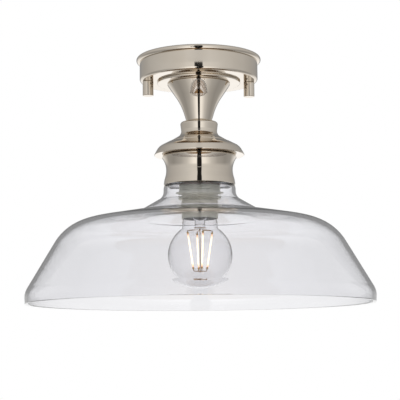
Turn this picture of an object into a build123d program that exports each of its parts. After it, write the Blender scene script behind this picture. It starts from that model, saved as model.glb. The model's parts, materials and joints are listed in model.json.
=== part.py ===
from build123d import *
import math
import os

# Semi flush ceiling light: a nickel canopy, a trumpet stem, a domed cap and gallery, and a
# clear glass shade round an E27 lamp. Millimetres, +Z up, origin on the ceiling plane at the
# middle of the mounting bracket. Every z below the ceiling is negative.
# A profile is a list of (radius, z) corners, and each inner corner has a fillet radius.

# ---- driving dimensions: canopy and what hangs under it ----
CANOPY_R = 55.7
CANOPY_DEPTH = 23.0
CANOPY_FILLET = 2.6
CANOPY_BEAD_R = 2.5
CANOPY_BEAD_OUT = 0.6
SHEET = 1.0

SEAT_R = 39.4
SEAT_THICK = 2.0

TRUMPET_TOP_R = 29.6
TRUMPET_BEND = (16.6, -45.2)
TRUMPET_FILLET = 57.0
TRUMPET_FOOT_R = 11.65
TRUMPET_WALL = 1.2

COLLAR_TOP_Z = -61.6
COLLAR_R = 17.9
COLLAR_ROUND = 2.2
COLLAR_WAIST = (16.4, -73.6)
COLLAR_FILLET = 6.5
COLLAR_FOOT = [(27.1, -80.0), (27.1, -80.8)]

CAP_TOP_Z = -80.9
CAP_CREST_R = 29.3
CAP_SHOULDER = (38.3, -85.6)
CAP_SHOULDER_FILLET = 9.7
CAP_LIP_R = 42.3
CAP_LIP_HEIGHT = 0.8
CAP_FLOOR_R = 30.5
CAP_FOOT_Z = -93.5

GALLERY_TOP_Z = -93.6
GALLERY_TOP_R = 36.5
GALLERY_WAIST = (30.1, -102.4)
GALLERY_STEP = (31.7, -112.3)
GALLERY_BAND = (32.9, -116.6)
GALLERY_RIM = (33.6, -121.6)
GALLERY_FILLETS = [1.7, 20.0, 2.6, 1.0]
GALLERY_WALL = 0.8

# ---- driving dimensions: glass shade ----
GLASS_WALL = 3.2
GLASS_TOP_Z = -119.2
GLASS_HOLE_R = 17.6
GLASS_CORNERS = [(33.5, GLASS_TOP_Z), (33.9, -132.8), (56.1, -145.8), (124.4, -158.3), (162.2, -222.4)]
GLASS_FILLETS = [6.0, 9.0, 17.2, 44.9, 5.3]
GLASS_RIM = (161.6, -232.4)
GLASS_RIM_ROUND = 0.7

# ---- driving dimensions: stem, lampholder and shade ring ----
STEM_R = 5.0
STEM_BORE_R = 3.7
STEM_TOP_Z = -12.4
STEM_FOOT_Z = -103.8
STEM_HOLE_R = 5.3
NUT_FLATS = 14.0
NUT_THICK = 3.0
THREAD_GAP = 0.03
WASHER_R = 9.0
WASHER_THICK = 1.2

HOLDER_R = 17.0
HOLDER_FOOT_Z = -147.7
HOLDER_SOCKET_Z = -140.9
HOLDER_SOCKET_R = 16.45
HOLDER_NECK_R = 8.0
HOLDER_NECK_TOP_Z = -98.4
HOLDER_CAP_R = 18.5
HOLDER_CAP_TOP_Z = -102.8
HOLDER_CAP_FOOT_Z = -116.2
HOLDER_CAP_WALL = 1.2
HOLDER_THREAD_PITCH = 2.0
HOLDER_THREAD_LAND = 1.2
HOLDER_THREAD_DEPTH = 0.45

RING_TOP_Z = -122.6
RING_BORE_R = 17.08
RING_BARREL_R = 19.2
RING_FLANGE_R = 22.0
RING_SPIGOT_R = 19.8
RING_FLANGE_Z = (-130.4, -133.6)
RING_FOOT_Z = -136.9
RING_THREADS = 3
PLATE_R = 30.0
FIBRE_R = 26.0

# ---- driving dimensions: lamp ----
BULB_R = 30.0
BULB_CENTRE_Z = -188.0
BULB_LENGTH = 105.0
BULB_NECK_R = 16.3
BULB_WALL = 0.8
BULB_JOIN = 21.5
LAMP_CAP_R = 13.2
LAMP_CAP_LENGTH = 24.0
LAMP_CAP_SHEET = 0.4
LAMP_CAP_THREADS = 5
LAMP_TIP_R = 4.5
E27_PITCH = 3.62
FILAMENT_COUNT = 4
FILAMENT_R = 0.9
FILAMENT_TOP = (11.8, -166.7)
FILAMENT_FOOT = (6.6, -200.4)
FILAMENT_TURN = 8.0
LAMP_STEM_R = 5.0
LAMP_STEM_TOP_Z = -149.9
LAMP_STEM_FOOT_Z = -162.4
LAMP_STEM_WALL = 0.9
LAMP_WIRE_R = 0.35

# ---- driving dimensions: fixing hardware ----
STUD_SPACING = 95.8
STUD_R = 2.0
STUD_FOOT_Z = -31.9
STUD_HOLE_R = 2.3
STUD_POINT = 0.6
STUD_NUT_FLATS = 7.0
STUD_NUT_THICK = 3.2
CAP_NUT_R = 5.1
CAP_NUT_LENGTH = 13.7
CAP_NUT_PIN_R = 0.8
CAP_NUT_PIN_DROP = 2.6
CAP_NUT_FLOOR = 2.0
STRAP_LENGTH = 106.0
STRAP_WIDTH = 16.0
STRAP_THICK = 2.0
STRAP_CORNER = 5.0
SLOT_SPACING = 60.0
SLOT_LENGTH = 20.0
SLOT_WIDTH = 5.0
CABLE_HOLE_R = 5.5
WIRE_R = 1.1
BLOCK = (30.0, 14.0, 11.0)
BLOCK_Y = 26.0
POLES = (-10.0, 0.0, 10.0)
CORE_TOP_Z = -107.2
CORE_R = 15.4
SHELL_R = 13.75
TERMINAL_R = 9.0
TERMINAL_DEPTH = 3.0
SHELL_WALL = 0.4
SHELL_LENGTH = 25.0
TAG_AT = (27.5, 15.6)
TAG = (10.0, 7.0, 0.8)
TAG_EYE = 2.0

# ---- worked out from the driving dimensions ----
CANOPY_FLOOR_Z = SHEET - CANOPY_DEPTH
SEAT_FOOT_Z = -CANOPY_DEPTH - SEAT_THICK
BULB_TIP_Z = BULB_CENTRE_Z - BULB_R
LAMP_TOP_Z = BULB_TIP_Z + BULB_LENGTH
LAMP_CAP_TOP_Z = LAMP_TOP_Z - 2.0
LAMP_CAP_FOOT_Z = LAMP_CAP_TOP_Z - LAMP_CAP_LENGTH
CAP_NUT_TOP_Z = -CANOPY_DEPTH - 0.1
BLOCK_Z = CANOPY_FLOOR_Z + BLOCK[2] / 2


# ---- shape helpers ----
def at(point):
    """Puts a (radius, z) pair into the plane that is turned round the axis."""
    return (point[0], 0, point[1])


def beside(points, gap):
    """Corners of the path that runs beside another one, to the right of its direction."""
    runs = []
    for (r0, z0), (r1, z1) in zip(points, points[1:]):
        length = math.hypot(r1 - r0, z1 - z0)
        across = ((z1 - z0) / length * gap, (r0 - r1) / length * gap)
        runs.append(((r0 + across[0], z0 + across[1]), (r1 + across[0], z1 + across[1])))
    corners = [runs[0][0]]
    for (a, b), (c, d) in zip(runs, runs[1:]):
        first = (b[0] - a[0], b[1] - a[1])
        second = (d[0] - c[0], d[1] - c[1])
        cross = first[0] * second[1] - first[1] * second[0]
        along = ((c[0] - a[0]) * second[1] - (c[1] - a[1]) * second[0]) / cross
        corners.append((a[0] + first[0] * along, a[1] + first[1] * along))
    corners.append(runs[-1][1])
    return corners


def turned(path, *more):
    """Solid of revolution about Z from the edges that close a profile."""
    edges = list(path.edges())
    for part in more:
        edges += list(part.edges())
    return revolve(make_face(edges), axis=Axis.Z)


def spun(points, radii, wall):
    """Sheet of even thickness turned round the axis, given its outer corners from the top down."""
    inner_points = beside(points, wall)
    inner_radii = []
    for i, radius in enumerate(radii):
        (r0, z0), (r1, z1), (r2, z2) = points[i:i + 3]
        bends_in = (r1 - r0) * (z2 - z1) - (z1 - z0) * (r2 - r1) < 0
        inner_radii.append(max(radius - wall, 0) if bends_in else radius + wall)
    outer = FilletPolyline(*[at(p) for p in points], radius=radii)
    inner = FilletPolyline(*[at(p) for p in inner_points], radius=inner_radii)
    first = Line(at(points[0]), at(inner_points[0]))
    last = Line(at(points[-1]), at(inner_points[-1]))
    return turned(outer, inner, first, last)


def lathe(points, radii=None):
    """Solid turned from a closed run of corners."""
    radii = radii or [0] * len(points)
    return turned(FilletPolyline(*[at(p) for p in points], radius=radii, close=True))


def tube(outer, inner, top, foot):
    """Plain ring between two heights."""
    return lathe([(inner, top), (outer, top), (outer, foot), (inner, foot)])


def rod(radius, start, end):
    """Round bar between two points."""
    run = Vector(*end) - Vector(*start)
    return extrude(Plane(start, z_dir=run) * Circle(radius), amount=run.length)


def hex_nut(flats, bore, top, foot):
    """Six-sided nut with its bore, between two heights."""
    shape = RegularPolygon(flats / 2, 6, major_radius=False) - Circle(bore)
    return extrude(Plane.XY.offset(foot) * shape, amount=top - foot)


def lead(points, radius):
    """Insulated wire along straight runs joined by the largest arcs that they leave room for."""
    radii = []
    for a, b, c in zip(points, points[1:], points[2:]):
        before = Vector(*b) - Vector(*a)
        after = Vector(*c) - Vector(*b)
        half_turn = math.radians(before.get_angle(after)) / 2
        radii.append(0.45 * min(before.length, after.length) / math.tan(half_turn))
    path = FilletPolyline(*points, radius=radii)
    start = Plane(points[0], z_dir=Vector(*points[1]) - Vector(*points[0]))
    body = sweep(start * Circle(radius), path=path.wire())
    print("wire", round(path.length, 1), "mm, least bend", round(min(radii), 1), "mm",
          "volume ratio", round(body.volume / (math.pi * radius ** 2 * path.length), 3))
    return body


def around(shape, radius, count, start_angle=0.0):
    """Copies of a shape on a circle about the axis."""
    copies = []
    for i in range(count):
        turn = Rot(0, 0, start_angle + 360 * i / count)
        copies.append(turn * Pos(radius, 0, 0) * shape)
    return Compound(children=copies)


# ---- fixing hardware ----
def ceiling_bracket():
    strap = Pos(0, 0, -STRAP_THICK / 2) * Box(STRAP_LENGTH, STRAP_WIDTH, STRAP_THICK)
    strap = fillet(strap.edges().filter_by(Axis.Z), STRAP_CORNER)
    strap -= Pos(0, 0, -STRAP_THICK / 2) * Cylinder(CABLE_HOLE_R, STRAP_THICK)
    slot = extrude(Plane.XY.offset(-STRAP_THICK) * SlotOverall(SLOT_LENGTH, SLOT_WIDTH), STRAP_THICK)
    for side in (-1, 1):
        strap -= Pos(side * SLOT_SPACING / 2, 0, 0) * slot
        strap -= Pos(side * STUD_SPACING / 2, 0, -STRAP_THICK / 2) * Cylinder(STUD_R, STRAP_THICK)
    return strap


def stud_pair():
    top = -0.1 * STRAP_THICK
    stud = lathe([(0, top), (STUD_R, top), (STUD_R, STUD_FOOT_Z + STUD_POINT),
                  (STUD_R - STUD_POINT, STUD_FOOT_Z), (0, STUD_FOOT_Z)])
    return around(stud, STUD_SPACING / 2, 2)


def stud_nut_pair():
    top = -STRAP_THICK - 0.02
    nut = hex_nut(STUD_NUT_FLATS, STUD_R + THREAD_GAP, top, top - STUD_NUT_THICK)
    return around(nut, STUD_SPACING / 2, 2)


def cap_nut(side):
    top = CAP_NUT_TOP_Z
    foot = top - CAP_NUT_LENGTH
    bore_end = foot + CAP_NUT_FLOOR
    bore = STUD_R + 2 * THREAD_GAP
    nut = lathe([(bore, top), (CAP_NUT_R - 0.2, top), (CAP_NUT_R, top - 0.2), (CAP_NUT_R, foot + 0.3),
                 (CAP_NUT_R - 0.3, foot), (0, foot), (0, bore_end), (bore, bore_end)])
    facing = Plane((0, 0, top - CAP_NUT_PIN_DROP), z_dir=(-side * 0.5, -0.87, 0))
    nut -= extrude(facing * Circle(CAP_NUT_PIN_R), amount=CAP_NUT_R + 1)
    return Pos(side * STUD_SPACING / 2, 0, 0) * nut


# ---- canopy and stem cover ----
def canopy():
    wall_top = -1.6 * CANOPY_BEAD_R
    outer = [(STEM_HOLE_R, -CANOPY_DEPTH), (CANOPY_R, -CANOPY_DEPTH), (CANOPY_R, wall_top)]
    cup = spun(outer, [CANOPY_FILLET], -SHEET)
    cup += Pos(0, 0, -CANOPY_BEAD_R) * Torus(CANOPY_R + CANOPY_BEAD_OUT, CANOPY_BEAD_R)
    cup -= Pos(0, 0, -CANOPY_BEAD_R) * Cylinder(CANOPY_R - SHEET, 4 * CANOPY_BEAD_R)
    for side in (-1, 1):
        cup -= Pos(side * STUD_SPACING / 2, 0, -CANOPY_DEPTH) * Cylinder(STUD_HOLE_R, 4 * SHEET)
    return cup


def seat_disc():
    return lathe([(STEM_HOLE_R, -CANOPY_DEPTH), (SEAT_R, -CANOPY_DEPTH), (SEAT_R, SEAT_FOOT_Z),
                  (STEM_HOLE_R, SEAT_FOOT_Z)], [0, 0.2 * SEAT_THICK, 0.475 * SEAT_THICK, 0])


def trumpet():
    top = SEAT_FOOT_Z
    edge = (TRUMPET_TOP_R, top - 1.0)
    rim = (TRUMPET_TOP_R - 1.6, top)
    foot = (TRUMPET_FOOT_R, COLLAR_TOP_Z)
    points = [rim, (TRUMPET_TOP_R, top), edge, TRUMPET_BEND, foot, (STEM_HOLE_R, COLLAR_TOP_Z)]
    inner = beside([edge, TRUMPET_BEND, foot], TRUMPET_WALL)
    floor = COLLAR_TOP_Z + 2.0
    inside = [(STEM_HOLE_R, floor), (inner[2][0] + 0.2, floor), inner[1], rim]
    outer_path = FilletPolyline(*[at(p) for p in points], radius=[0.5, 0.4, TRUMPET_FILLET, 0.4])
    inner_path = FilletPolyline(*[at(p) for p in inside], radius=[0, TRUMPET_FILLET - 2 * TRUMPET_WALL])
    return turned(outer_path, inner_path, Line(at(points[-1]), at(inside[0])))


def collar():
    points = [(STEM_HOLE_R, COLLAR_TOP_Z), (COLLAR_R, COLLAR_TOP_Z), COLLAR_WAIST] + COLLAR_FOOT
    return spun(points, [COLLAR_ROUND, COLLAR_FILLET, 0.2], SHEET)


def shade_cap():
    points = [(STEM_HOLE_R, CAP_TOP_Z), (CAP_CREST_R, CAP_TOP_Z), CAP_SHOULDER,
              (CAP_LIP_R, CAP_FOOT_Z + CAP_LIP_HEIGHT), (CAP_LIP_R - 0.1, CAP_FOOT_Z),
              (CAP_FLOOR_R, CAP_FOOT_Z)]
    return spun(points, [1.0, CAP_SHOULDER_FILLET, 0.1, 0.5], SHEET)


def gallery():
    points = [(STEM_HOLE_R, GALLERY_TOP_Z), (GALLERY_TOP_R, GALLERY_TOP_Z), GALLERY_WAIST,
              GALLERY_STEP, GALLERY_BAND, GALLERY_RIM]
    return spun(points, GALLERY_FILLETS, GALLERY_WALL)


# ---- stem ----
def stem_tube():
    return tube(STEM_R, STEM_BORE_R, STEM_TOP_Z, STEM_FOOT_Z)


def canopy_nut():
    foot = CANOPY_FLOOR_Z + WASHER_THICK
    return hex_nut(NUT_FLATS, STEM_R + THREAD_GAP, foot + NUT_THICK, foot)


def lock_washer():
    return tube(WASHER_R, STEM_R + 0.2, CANOPY_FLOOR_Z + WASHER_THICK, CANOPY_FLOOR_Z)


def gallery_nut():
    top = GALLERY_TOP_Z - GALLERY_WALL
    return hex_nut(NUT_FLATS, STEM_R + THREAD_GAP, top, top - NUT_THICK)


# ---- lampholder ----
def holder_cap():
    bore = STEM_R + THREAD_GAP
    inner = HOLDER_CAP_R - HOLDER_CAP_WALL
    points = [(bore, HOLDER_NECK_TOP_Z), (HOLDER_NECK_R, HOLDER_NECK_TOP_Z),
              (HOLDER_NECK_R, HOLDER_CAP_TOP_Z + 1.1), (HOLDER_CAP_R, HOLDER_CAP_TOP_Z),
              (HOLDER_CAP_R, HOLDER_CAP_FOOT_Z), (inner, HOLDER_CAP_FOOT_Z),
              (inner, HOLDER_CAP_TOP_Z - 1.4), (bore, STEM_FOOT_Z)]
    return lathe(points, [0, 0.6, 1.5, 3.0, 0, 0, 2.0, 0])


def holder_skirt():
    top = HOLDER_CAP_FOOT_Z + 4.0
    inner = CORE_R + 0.1
    points = [(inner, top), (HOLDER_R, top)]
    z = HOLDER_CAP_FOOT_Z - 1.5
    while z > HOLDER_SOCKET_Z + 2.0:
        points += [(HOLDER_R, z), (HOLDER_R - HOLDER_THREAD_DEPTH, z - HOLDER_THREAD_LAND / 2),
                   (HOLDER_R, z - HOLDER_THREAD_LAND)]
        z -= HOLDER_THREAD_PITCH
    points += [(HOLDER_R, HOLDER_FOOT_Z), (HOLDER_SOCKET_R, HOLDER_FOOT_Z),
               (HOLDER_SOCKET_R, HOLDER_SOCKET_Z), (inner, HOLDER_SOCKET_Z)]
    return lathe(points)


def holder_core():
    floor = LAMP_TOP_Z + 0.9
    bore = SHELL_R + SHELL_WALL + 0.1
    core = lathe([(0, CORE_TOP_Z), (CORE_R, CORE_TOP_Z), (CORE_R, HOLDER_SOCKET_Z), (bore, HOLDER_SOCKET_Z),
                  (bore, floor), (0, floor)], [0, 0.8, 0.5, 0, 0.5, 0])
    for side in (-1, 1):
        core -= Pos(side * TERMINAL_R, 0, CORE_TOP_Z) * Cylinder(1.3, 2 * TERMINAL_DEPTH)
    return core


def screw_shell():
    top = LAMP_TOP_Z - 1.4
    return tube(SHELL_R + SHELL_WALL, SHELL_R, top, top - SHELL_LENGTH)


def centre_contact():
    tongue = Pos(2.5, 0, LAMP_TOP_Z + 0.6) * Box(11.0, 5.0, 0.5)
    return tongue + Pos(0, 0, LAMP_TOP_Z + 0.35) * Cylinder(2.2, 0.3)


def terminal_screws():
    screw = Pos(0, 0, CORE_TOP_Z + 0.6) * Cylinder(2.6, 1.2)
    screw += Pos(0, 0, CORE_TOP_Z - 1.0) * Cylinder(1.25, 2.2)
    return around(screw, TERMINAL_R, 2)


def fitter_plate():
    return tube(PLATE_R, HOLDER_R + 0.1, HOLDER_CAP_FOOT_Z - 0.02, HOLDER_CAP_FOOT_Z - WASHER_THICK)


def fibre_washer():
    return tube(FIBRE_R, HOLDER_R + 0.2, HOLDER_CAP_FOOT_Z - WASHER_THICK - 0.02, GLASS_TOP_Z + 0.2)


def shade_ring():
    upper, lower = RING_FLANGE_Z
    points = [(RING_BORE_R, RING_TOP_Z), (RING_BARREL_R, RING_TOP_Z)]
    z = RING_TOP_Z - 1.0
    for turn in range(RING_THREADS):
        points += [(RING_BARREL_R, z), (RING_BARREL_R - 0.5, z - 0.45), (RING_BARREL_R, z - 0.9)]
        z -= HOLDER_THREAD_PITCH
    points += [(RING_BARREL_R, upper), (RING_FLANGE_R, upper - 0.3), (RING_FLANGE_R, lower + 0.3),
               (RING_SPIGOT_R, lower), (RING_SPIGOT_R, RING_FOOT_Z + 0.4),
               (RING_SPIGOT_R - 0.4, RING_FOOT_Z), (RING_BORE_R, RING_FOOT_Z)]
    return lathe(points)


# ---- glass shade ----
def glass_shade():
    points = [(GLASS_HOLE_R, GLASS_TOP_Z)] + GLASS_CORNERS + [GLASS_RIM]
    shade = spun(points, GLASS_FILLETS, GLASS_WALL)
    rims = shade.edges().filter_by(GeomType.CIRCLE).sort_by(Axis.Z)[:2]
    return fillet(rims, GLASS_RIM_ROUND)


# ---- lamp ----
def bulb_glass():
    neck_top = LAMP_CAP_FOOT_Z + 3.0
    join_r = math.sqrt(BULB_R ** 2 - BULB_JOIN ** 2)
    cap_r = LAMP_CAP_R - 1.4
    parts = []
    for inset in (0.0, BULB_WALL):
        ball = BULB_R - inset
        turn = ball / BULB_R
        join = (join_r * turn, BULB_CENTRE_Z + BULB_JOIN * turn)
        tangent = (BULB_JOIN / BULB_R, -join_r / BULB_R)
        neck = [(cap_r - inset, neck_top), (cap_r - inset, LAMP_CAP_FOOT_Z - 0.5),
                (BULB_NECK_R - 0.5 - inset, HOLDER_FOOT_Z + 1.0),
                (BULB_NECK_R + 0.3 - inset, HOLDER_FOOT_Z - 7.0)]
        meet = -(join[0] - neck[3][0]) / tangent[0]
        corner = (neck[3][0], join[1] + meet * tangent[1])
        upper = FilletPolyline(*[at(p) for p in neck[:3] + [corner, join]], radius=[4, 12, 9])
        lower = ThreePointArc(at(join), at((ball, BULB_CENTRE_Z)), at((0, BULB_CENTRE_Z - ball)))
        parts.append((neck[0], upper, lower))
    rim = Line(at(parts[0][0]), at(parts[1][0]))
    pole = Line((0, 0, BULB_CENTRE_Z - BULB_R), (0, 0, BULB_CENTRE_Z - BULB_R + BULB_WALL))
    return turned(parts[0][1], parts[0][2], parts[1][1], parts[1][2], rim, pole)


def lamp_cap():
    points = [(LAMP_CAP_R - 4.3, LAMP_CAP_TOP_Z), (LAMP_CAP_R - 1.2, LAMP_CAP_TOP_Z - 1.5)]
    radii = [0.8]
    z = LAMP_CAP_TOP_Z - 3.2
    for turn in range(LAMP_CAP_THREADS):
        points += [(LAMP_CAP_R, z), (LAMP_CAP_R - 0.9, z - E27_PITCH / 2)]
        radii += [0.9, 0.9]
        z -= E27_PITCH
    points += [(LAMP_CAP_R, z), (LAMP_CAP_R, LAMP_CAP_FOOT_Z)]
    radii += [0.6]
    return spun(points, radii, LAMP_CAP_SHEET)


def lamp_insulator():
    bore = LAMP_TIP_R + 0.1
    rim = LAMP_CAP_R - 4.55
    foot = LAMP_CAP_TOP_Z - 2.2
    return lathe([(bore, LAMP_CAP_TOP_Z + 0.9), (rim, LAMP_CAP_TOP_Z + 0.2), (rim, LAMP_CAP_TOP_Z - 0.8),
                  (rim - 0.8, foot), (bore, foot)])


def lamp_tip():
    foot = LAMP_CAP_TOP_Z - 1.2
    return lathe([(0, LAMP_TOP_Z), (LAMP_TIP_R, LAMP_TOP_Z), (LAMP_TIP_R, foot), (0, foot)], [0, 1.0, 0, 0])


def lamp_stem():
    neck = LAMP_CAP_R - 2.6
    top = LAMP_CAP_FOOT_Z + 2.0
    flare = LAMP_CAP_FOOT_Z - 1.0
    pinch = LAMP_STEM_FOOT_Z + 3.0
    points = [(neck, top), (neck, flare), (LAMP_STEM_R, LAMP_STEM_TOP_Z), (LAMP_STEM_R, pinch),
              (0.4 * LAMP_STEM_R, LAMP_STEM_FOOT_Z), (0, LAMP_STEM_FOOT_Z)]
    outer = FilletPolyline(*[at(p) for p in points], radius=[3, 6, 2.5, 0.5])
    bore = LAMP_STEM_R - LAMP_STEM_WALL
    inner_points = [(neck - LAMP_STEM_WALL, top), (neck - LAMP_STEM_WALL, flare), (bore, LAMP_STEM_TOP_Z),
                    (bore, pinch + 3.5), (0, pinch + 2.0)]
    inner = FilletPolyline(*[at(p) for p in inner_points], radius=[2.4, 5.5, 1.5])
    rim = Line(at(points[0]), at(inner_points[0]))
    pole = Line(at(points[-1]), at(inner_points[-1]))
    return turned(outer, inner, rim, pole)


def filament_ends():
    """Top and foot of each filament, spread round the axis."""
    ends = []
    for i in range(FILAMENT_COUNT):
        angle = math.radians(FILAMENT_TURN + 360 * i / FILAMENT_COUNT)
        spots = []
        for radius, z in (FILAMENT_TOP, FILAMENT_FOOT):
            spots.append((radius * math.cos(angle), radius * math.sin(angle), z))
        ends.append(spots)
    return ends


def filaments():
    return Compound(children=[rod(FILAMENT_R, top, foot) for top, foot in filament_ends()])


def filament_wires():
    """One wire from the stem to each filament's top, and a star that joins the four feet."""
    wires = []
    hub = (0, 0, FILAMENT_FOOT[1] - 2.5)
    star = Pos(*hub) * Sphere(0.8)
    for top, foot in filament_ends():
        start = (top[0] * 0.15, top[1] * 0.15, LAMP_STEM_FOOT_Z - 0.2)
        below = (start[0] * 1.2, start[1] * 1.2, LAMP_STEM_FOOT_Z - 1.9)
        above = (top[0] * 1.02, top[1] * 1.02, top[2] + 1.6)
        end = (top[0] * 1.005, top[1] * 1.005, top[2] + 0.05)
        wires.append(lead([start, below, above, end], LAMP_WIRE_R))
        elbow = (foot[0] * 0.9, foot[1] * 0.9, hub[2] + 0.2)
        star += rod(LAMP_WIRE_R, (foot[0], foot[1], foot[2] - 0.05), elbow)
        star += rod(LAMP_WIRE_R, elbow, hub)
    star += rod(LAMP_WIRE_R, hub, (0, 0, LAMP_STEM_FOOT_Z - 0.05))
    return Compound(children=wires + [star])


# ---- wiring ----
def terminal_block():
    body = Pos(0, BLOCK_Y, BLOCK_Z) * Box(*BLOCK)
    body = fillet(body.edges().filter_by(Axis.Z), 1.5)
    top = BLOCK_Z + BLOCK[2] / 2
    for x in POLES:
        body -= Pos(x, BLOCK_Y, top - 1.0) * Cylinder(2.4, 4.0)
        body -= Plane((x, BLOCK_Y - BLOCK[1] / 2 + 2, BLOCK_Z), z_dir=(0, 1, 0)) * Cylinder(1.6, 4.0)
        body -= Plane((x, BLOCK_Y + BLOCK[1] / 2 - 2, BLOCK_Z), z_dir=(0, 1, 0)) * Cylinder(1.6, 4.0)
    return body


def block_screws():
    top = BLOCK_Z + BLOCK[2] / 2
    screws = []
    for x in POLES:
        screw = Pos(x, BLOCK_Y, top - 2.0) * Cylinder(2.2, 1.9)
        screw -= Pos(x, BLOCK_Y, top - 1.0) * Box(4.6, 0.8, 1.2)
        screws.append(screw)
    return Compound(children=screws)


def supply_lead(side):
    """From the terminal block over the stem's end, down its bore and out to a lampholder screw."""
    x = POLES[0] * -side
    bore_x = 1.5 * side
    front = BLOCK_Y - BLOCK[1] / 2
    above_core = CORE_TOP_Z + WIRE_R + 0.3
    points = [(x, front + 1.0, BLOCK_Z), (x, front - 5.5, BLOCK_Z), (x * 0.45, 8.5, -6.0), (bore_x, 0, -4.6),
              (bore_x, 0, above_core), (6.35 * side, 0, above_core)]
    return lead(points, WIRE_R)


def earth_lead():
    """From the terminal block's third pole to the tag on the canopy's floor."""
    front = BLOCK_Y - BLOCK[1] / 2
    points = [(0, front + 1.0, BLOCK_Z), (0.5, front - 4.5, BLOCK_Z), (14.0, front - 8.0, BLOCK_Z - 1.5),
              (23.0, front - 4.2, CANOPY_FLOOR_Z + 2.4)]
    return lead(points, WIRE_R)


def earth_tag():
    x, y = TAG_AT
    tag = Pos(x, y, CANOPY_FLOOR_Z + TAG[2] / 2) * Box(*TAG)
    return tag + Pos(x - 2.7, y - 0.3, CANOPY_FLOOR_Z + TAG[2] + 0.2) * Box(3.0, 3.4, 1.0)


def earth_screw():
    x, y = TAG_AT[0] + TAG_EYE, TAG_AT[1]
    screw = Pos(x, y, CANOPY_FLOOR_Z + 1.8) * Cylinder(3.2, 2.0)
    return screw - Pos(x, y, CANOPY_FLOOR_Z + 2.6) * Box(7.0, 0.9, 1.0)


NODES = {
    "ceiling_bracket": ceiling_bracket,
    "bracket_studs": stud_pair,
    "stud_nuts": stud_nut_pair,
    "cap_nut_left": lambda: cap_nut(-1),
    "cap_nut_right": lambda: cap_nut(1),
    "canopy": canopy,
    "seat_disc": seat_disc,
    "trumpet": trumpet,
    "collar": collar,
    "shade_cap": shade_cap,
    "gallery": gallery,
    "stem_tube": stem_tube,
    "canopy_nut": canopy_nut,
    "lock_washer": lock_washer,
    "gallery_nut": gallery_nut,
    "holder_cap": holder_cap,
    "holder_skirt": holder_skirt,
    "holder_core": holder_core,
    "screw_shell": screw_shell,
    "centre_contact": centre_contact,
    "terminal_screws": terminal_screws,
    "fitter_plate": fitter_plate,
    "fibre_washer": fibre_washer,
    "shade_ring": shade_ring,
    "glass_shade": glass_shade,
    "bulb_glass": bulb_glass,
    "lamp_cap": lamp_cap,
    "lamp_insulator": lamp_insulator,
    "lamp_tip": lamp_tip,
    "lamp_stem": lamp_stem,
    "filaments": filaments,
    "filament_wires": filament_wires,
    "terminal_block": terminal_block,
    "block_screws": block_screws,
    "live_lead": lambda: supply_lead(-1),
    "neutral_lead": lambda: supply_lead(1),
    "earth_lead": earth_lead,
    "earth_tag": earth_tag,
    "earth_screw": earth_screw,
}

os.makedirs("parts", exist_ok=True)
for name, build in NODES.items():
    export_step(build(), f"parts/{name}.step")
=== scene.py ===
"""Semi flush ceiling light: polished nickel canopy and stem, clear glass shade and a filament lamp.

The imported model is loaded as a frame. The classes below dress it, one class to a sub-assembly, and put it
in a small studio. The light's own sizes are millimetres and the studio's are metres. +Z is up and the
ceiling is the plane z = 0.
"""
import json
import logging
import math
from collections.abc import Callable, Sequence
from dataclasses import dataclass
from enum import Enum

import bmesh
import bpy
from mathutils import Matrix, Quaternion, Vector


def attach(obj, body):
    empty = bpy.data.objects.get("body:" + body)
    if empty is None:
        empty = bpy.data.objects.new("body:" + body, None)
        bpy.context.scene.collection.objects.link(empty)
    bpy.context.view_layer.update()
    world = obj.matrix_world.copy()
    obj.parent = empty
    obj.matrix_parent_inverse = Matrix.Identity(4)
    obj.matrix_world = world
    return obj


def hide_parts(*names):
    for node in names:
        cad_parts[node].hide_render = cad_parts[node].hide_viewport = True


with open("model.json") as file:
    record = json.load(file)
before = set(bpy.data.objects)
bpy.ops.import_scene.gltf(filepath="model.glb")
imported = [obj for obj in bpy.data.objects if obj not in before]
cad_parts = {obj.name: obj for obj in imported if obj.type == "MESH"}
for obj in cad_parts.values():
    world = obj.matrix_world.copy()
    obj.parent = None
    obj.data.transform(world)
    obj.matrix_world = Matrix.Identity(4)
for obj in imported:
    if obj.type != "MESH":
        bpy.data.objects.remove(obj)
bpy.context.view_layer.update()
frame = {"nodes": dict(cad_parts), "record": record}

log = logging.getLogger("ceiling_light")

MM = 0.001
MERGE_DISTANCE = 1e-6
SMOOTH_ANGLE = math.radians(35)
# A noise's values mostly lie between these two.
NOISE_LOW = 0.3
NOISE_HIGH = 0.7

Point = tuple[float, float]
Place = tuple[float, float, float]
Colour = tuple[float, float, float, float]
Stops = Sequence[tuple[float, float]]


# ---- Colour and nodes ----
def linear(code: str) -> Colour:
    """Turns an sRGB hex colour into the linear colour that shaders use.

    Args:
        code: six hex digits, such as "b9b0a3".

    Returns:
        Linear red, green and blue with an alpha of 1.
    """
    channels = [int(code[i:i + 2], 16) / 255 for i in (0, 2, 4)]
    r, g, b = [c / 12.92 if c <= 0.04045 else ((c + 0.055) / 1.055) ** 2.4 for c in channels]
    return (r, g, b, 1.0)


def add_node(tree: bpy.types.NodeTree, kind: str, inputs: dict | None = None, stops: Stops = (),
             **settings: object) -> bpy.types.Node:
    """Adds one node with its settings and links.

    Args:
        tree: the material's or world's node tree.
        kind: the node's type name.
        inputs: for each input, by name or index, a value, a socket, or a node for its first output.
        stops: a colour ramp's grey stops, each a place and a level from 0 to 1.
        settings: the node's own properties.

    Returns:
        The new node.
    """
    node = tree.nodes.new(kind)
    for name, value in settings.items():
        setattr(node, name, value)
    for key, value in (inputs or {}).items():
        source = value.outputs[0] if isinstance(value, bpy.types.Node) else value
        if isinstance(source, bpy.types.NodeSocket):
            tree.links.new(source, node.inputs[key])
        else:
            node.inputs[key].default_value = source
    if stops:
        elements = node.color_ramp.elements
        while len(elements) < len(stops):
            elements.new(0.5)
        for element, (place, level) in zip(elements, stops):
            element.position = place
            element.color = (level, level, level, 1.0)
    return node


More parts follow.
